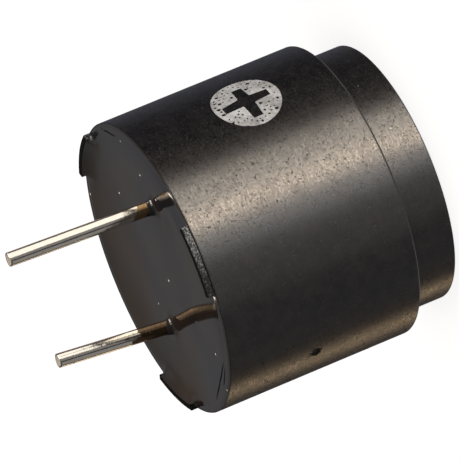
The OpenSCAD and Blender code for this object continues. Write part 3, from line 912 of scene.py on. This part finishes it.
paper = bpy.data.materials.new("white_paper")
paper.use_nodes = True
tree = paper.node_tree
tree.nodes.clear()
place = add(tree, "TexCoord").outputs["Object"]
pulp = add(tree, "TexNoise", {"Vector": place, "Scale": 40, "Detail": 2})
tone = add(tree, "Mix", {0: pulp.outputs[0], 6: linear("#d9d9d9"), 7: linear("#dddddd")},
           data_type="RGBA")
lit = add(tree, "BsdfDiffuse", {"Color": tone.outputs[2]})
seen = add(tree, "LightPath")
straight = add(tree, "Math", {
    0: seen.outputs["Is Camera Ray"], 1: seen.outputs["Is Transmission Ray"],
}, operation="MAXIMUM")
share = add(tree, "Math", {0: straight.outputs[0], 1: 0.82}, operation="MULTIPLY")
glow = add(tree, "Emission", {"Color": (1, 1, 1, 1), "Strength": share.outputs[0]})
sheet = add(tree, "AddShader", {0: lit.outputs[0], 1: glow.outputs[0]})
add(tree, "OutputMaterial", {"Surface": sheet.outputs[0]})
shape = bmesh.new()
bmesh.ops.create_grid(shape, x_segments=1, y_segments=1, size=1)
mesh = bpy.data.meshes.new("floor")
shape.to_mesh(mesh)
shape.free()
mesh.materials.append(paper)
floor = bpy.data.objects.new("floor", mesh)
floor.visible_glossy = False
floor.visible_shadow = False
bpy.context.scene.collection.objects.link(floor)

LAMP_AWAY = 0.4
LAMP_TALL = 0.16
# The height that every lamp looks at
LAMP_AIM = 0.008


def soft_box(name, azimuth, elevation, spread, power, colour, tall=LAMP_TALL):
    """A soft box that looks at the part from a direction, in degrees round from +X."""
    turn, rise = math.radians(azimuth), math.radians(elevation)
    towards = Vector((
        math.cos(turn) * math.cos(rise), math.sin(turn) * math.cos(rise), math.sin(rise),
    ))
    light = bpy.data.lights.new(name, "AREA")
    light.shape = "RECTANGLE"
    light.size = 2 * LAMP_AWAY * math.tan(math.radians(spread / 2))
    light.size_y = tall
    light.energy = power
    light.color = linear(colour)[:3]
    lamp = bpy.data.objects.new(name, light)
    lamp.location = Vector((0, 0, LAMP_AIM)) + towards * LAMP_AWAY
    lamp.rotation_euler = (-towards).to_track_quat("-Z", "Y").to_euler()
    lamp.visible_camera = False
    bpy.context.scene.collection.objects.link(lamp)
    return lamp


core = soft_box("core", -30, -17, 10, 0.48, "#ffe2c2")
key = soft_box("key", -17.5, -17, 35, 1.1, "#fff3e3")
fill = soft_box("fill", -45, -17, 20, 0.25, "#f8fbff")
side = soft_box("side", -75, -17, 40, 0.1, "#fff8f2")
soft_box("back", -125, -17, 55, 0.045, "#fffaf4")
soft_box("rear", 106, -17, 50, 0.022, "#e2e8ff")
soft_box("strip", 178, -17, 12, 0.09, "#ffdcae")
soft_box("under", -25, -42, 40, 0.3, "#fff3e3")

# Five cards light the pins, as cards held close would, and the two high ones the resin too. The
# three low ones are tall, so that the pins are bright from the side as well. The four stronger
# lights of the wall are kept off the pins, where their mirror image would be far too bright.
CARD_TALL = 0.29
WIRES = ("plus_wire", "minus_wire")
card = soft_box("pin_card", 4, -12, 82, 0.84, "#fffaf2", CARD_TALL)
grey_card = soft_box("grey_card", -57, -12, 40, 0.05, "#fff8f4", CARD_TALL)
warm_card = soft_box("warm_card", 98, -12, 60, 0.073, "#ffd2ac", CARD_TALL)
high_card = soft_box("high_card", 30, 23, 56, 2.2, "#fff4e6")
side_card = soft_box("side_card", -14, 23, 32, 0.4, "#fff4e6")
for lamps, names, state in (
    ((card, grey_card, warm_card), WIRES, "INCLUDE"),
    ((high_card, side_card), (*WIRES, "cast_resin"), "INCLUDE"),
    ((core, key, fill, side), WIRES, "EXCLUDE"),
):
    for lamp in lamps:
        chosen = bpy.data.collections.new(lamp.name + "_pieces")
        for name in names:
            chosen.objects.link(bpy.data.objects[name])
        for item in chosen.collection_objects:
            item.light_linking.link_state = state
        lamp.light_linking.receiver_collection = chosen

# The world is white to the camera alone. The gloss sees dark walls that pale upwards.
world = bpy.data.worlds.new("studio")
world.use_nodes = True
tree = world.node_tree
around = add(tree, "TexCoord").outputs["Generated"]
height = add(tree, "SeparateXYZ", {0: around})
above = add(tree, "MapRange", {"Value": height.outputs[2], "From Min": -0.05, "From Max": 0.27})
higher = add(tree, "MapRange", {"Value": height.outputs[2], "From Min": 0.3, "From Max": 0.6})
below = add(tree, "MapRange", {"Value": height.outputs[2], "From Min": -0.7, "From Max": -0.5})
overhead = add(tree, "MapRange", {"Value": height.outputs[2], "From Min": 0.62, "From Max": 0.8})
deep = add(tree, "Mix", {0: below.outputs[0], 6: (0.55, 0.55, 0.55, 1), 7: (0.048, 0.05, 0.06, 1)},
           data_type="RGBA")
low_sky = add(tree, "Mix", {0: above.outputs[0], 6: deep.outputs[2], 7: (0.2, 0.196, 0.2, 1)},
              data_type="RGBA")
sky = add(tree, "Mix", {0: higher.outputs[0], 6: low_sky.outputs[2], 7: (0.25, 0.21, 0.175, 1)},
          data_type="RGBA")
roof = add(tree, "Mix", {0: overhead.outputs[0], 6: sky.outputs[2], 7: (0.5, 0.49, 0.48, 1)},
           data_type="RGBA")
seen = add(tree, "LightPath")
shown = add(tree, "Mix", {0: seen.outputs["Is Camera Ray"], 6: roof.outputs[2], 7: (1, 1, 1, 1)},
            data_type="RGBA")
connect(tree, tree.nodes["Background"], {"Color": shown.outputs[2], "Strength": 1})
bpy.context.scene.world = world

CAMERA_TURN = 39.68
CAMERA_RISE = 17.335
CAMERA_ROLL = -112.482
CAMERA_AWAY = 0.41154
AIM = Vector((0.000076, 0.000501, 0.009079))
turn, rise = math.radians(CAMERA_TURN), math.radians(CAMERA_RISE)
look = Vector((-math.sin(turn) * math.cos(rise), math.cos(turn) * math.cos(rise), -math.sin(rise)))
lens = bpy.data.cameras.new("camera")
lens.lens = 626.1
lens.sensor_width = 36
lens.clip_start = 0.01
lens.clip_end = 5
camera = bpy.data.objects.new("camera", lens)
camera.rotation_mode = "QUATERNION"
camera.rotation_quaternion = (
    look.to_track_quat("-Z", "Y") @ Quaternion((0, 0, 1), math.radians(CAMERA_ROLL))
)
camera.location = AIM - look * CAMERA_AWAY
bpy.context.scene.collection.objects.link(camera)
bpy.context.scene.camera = camera
bpy.context.scene.view_settings.view_transform = "Standard"
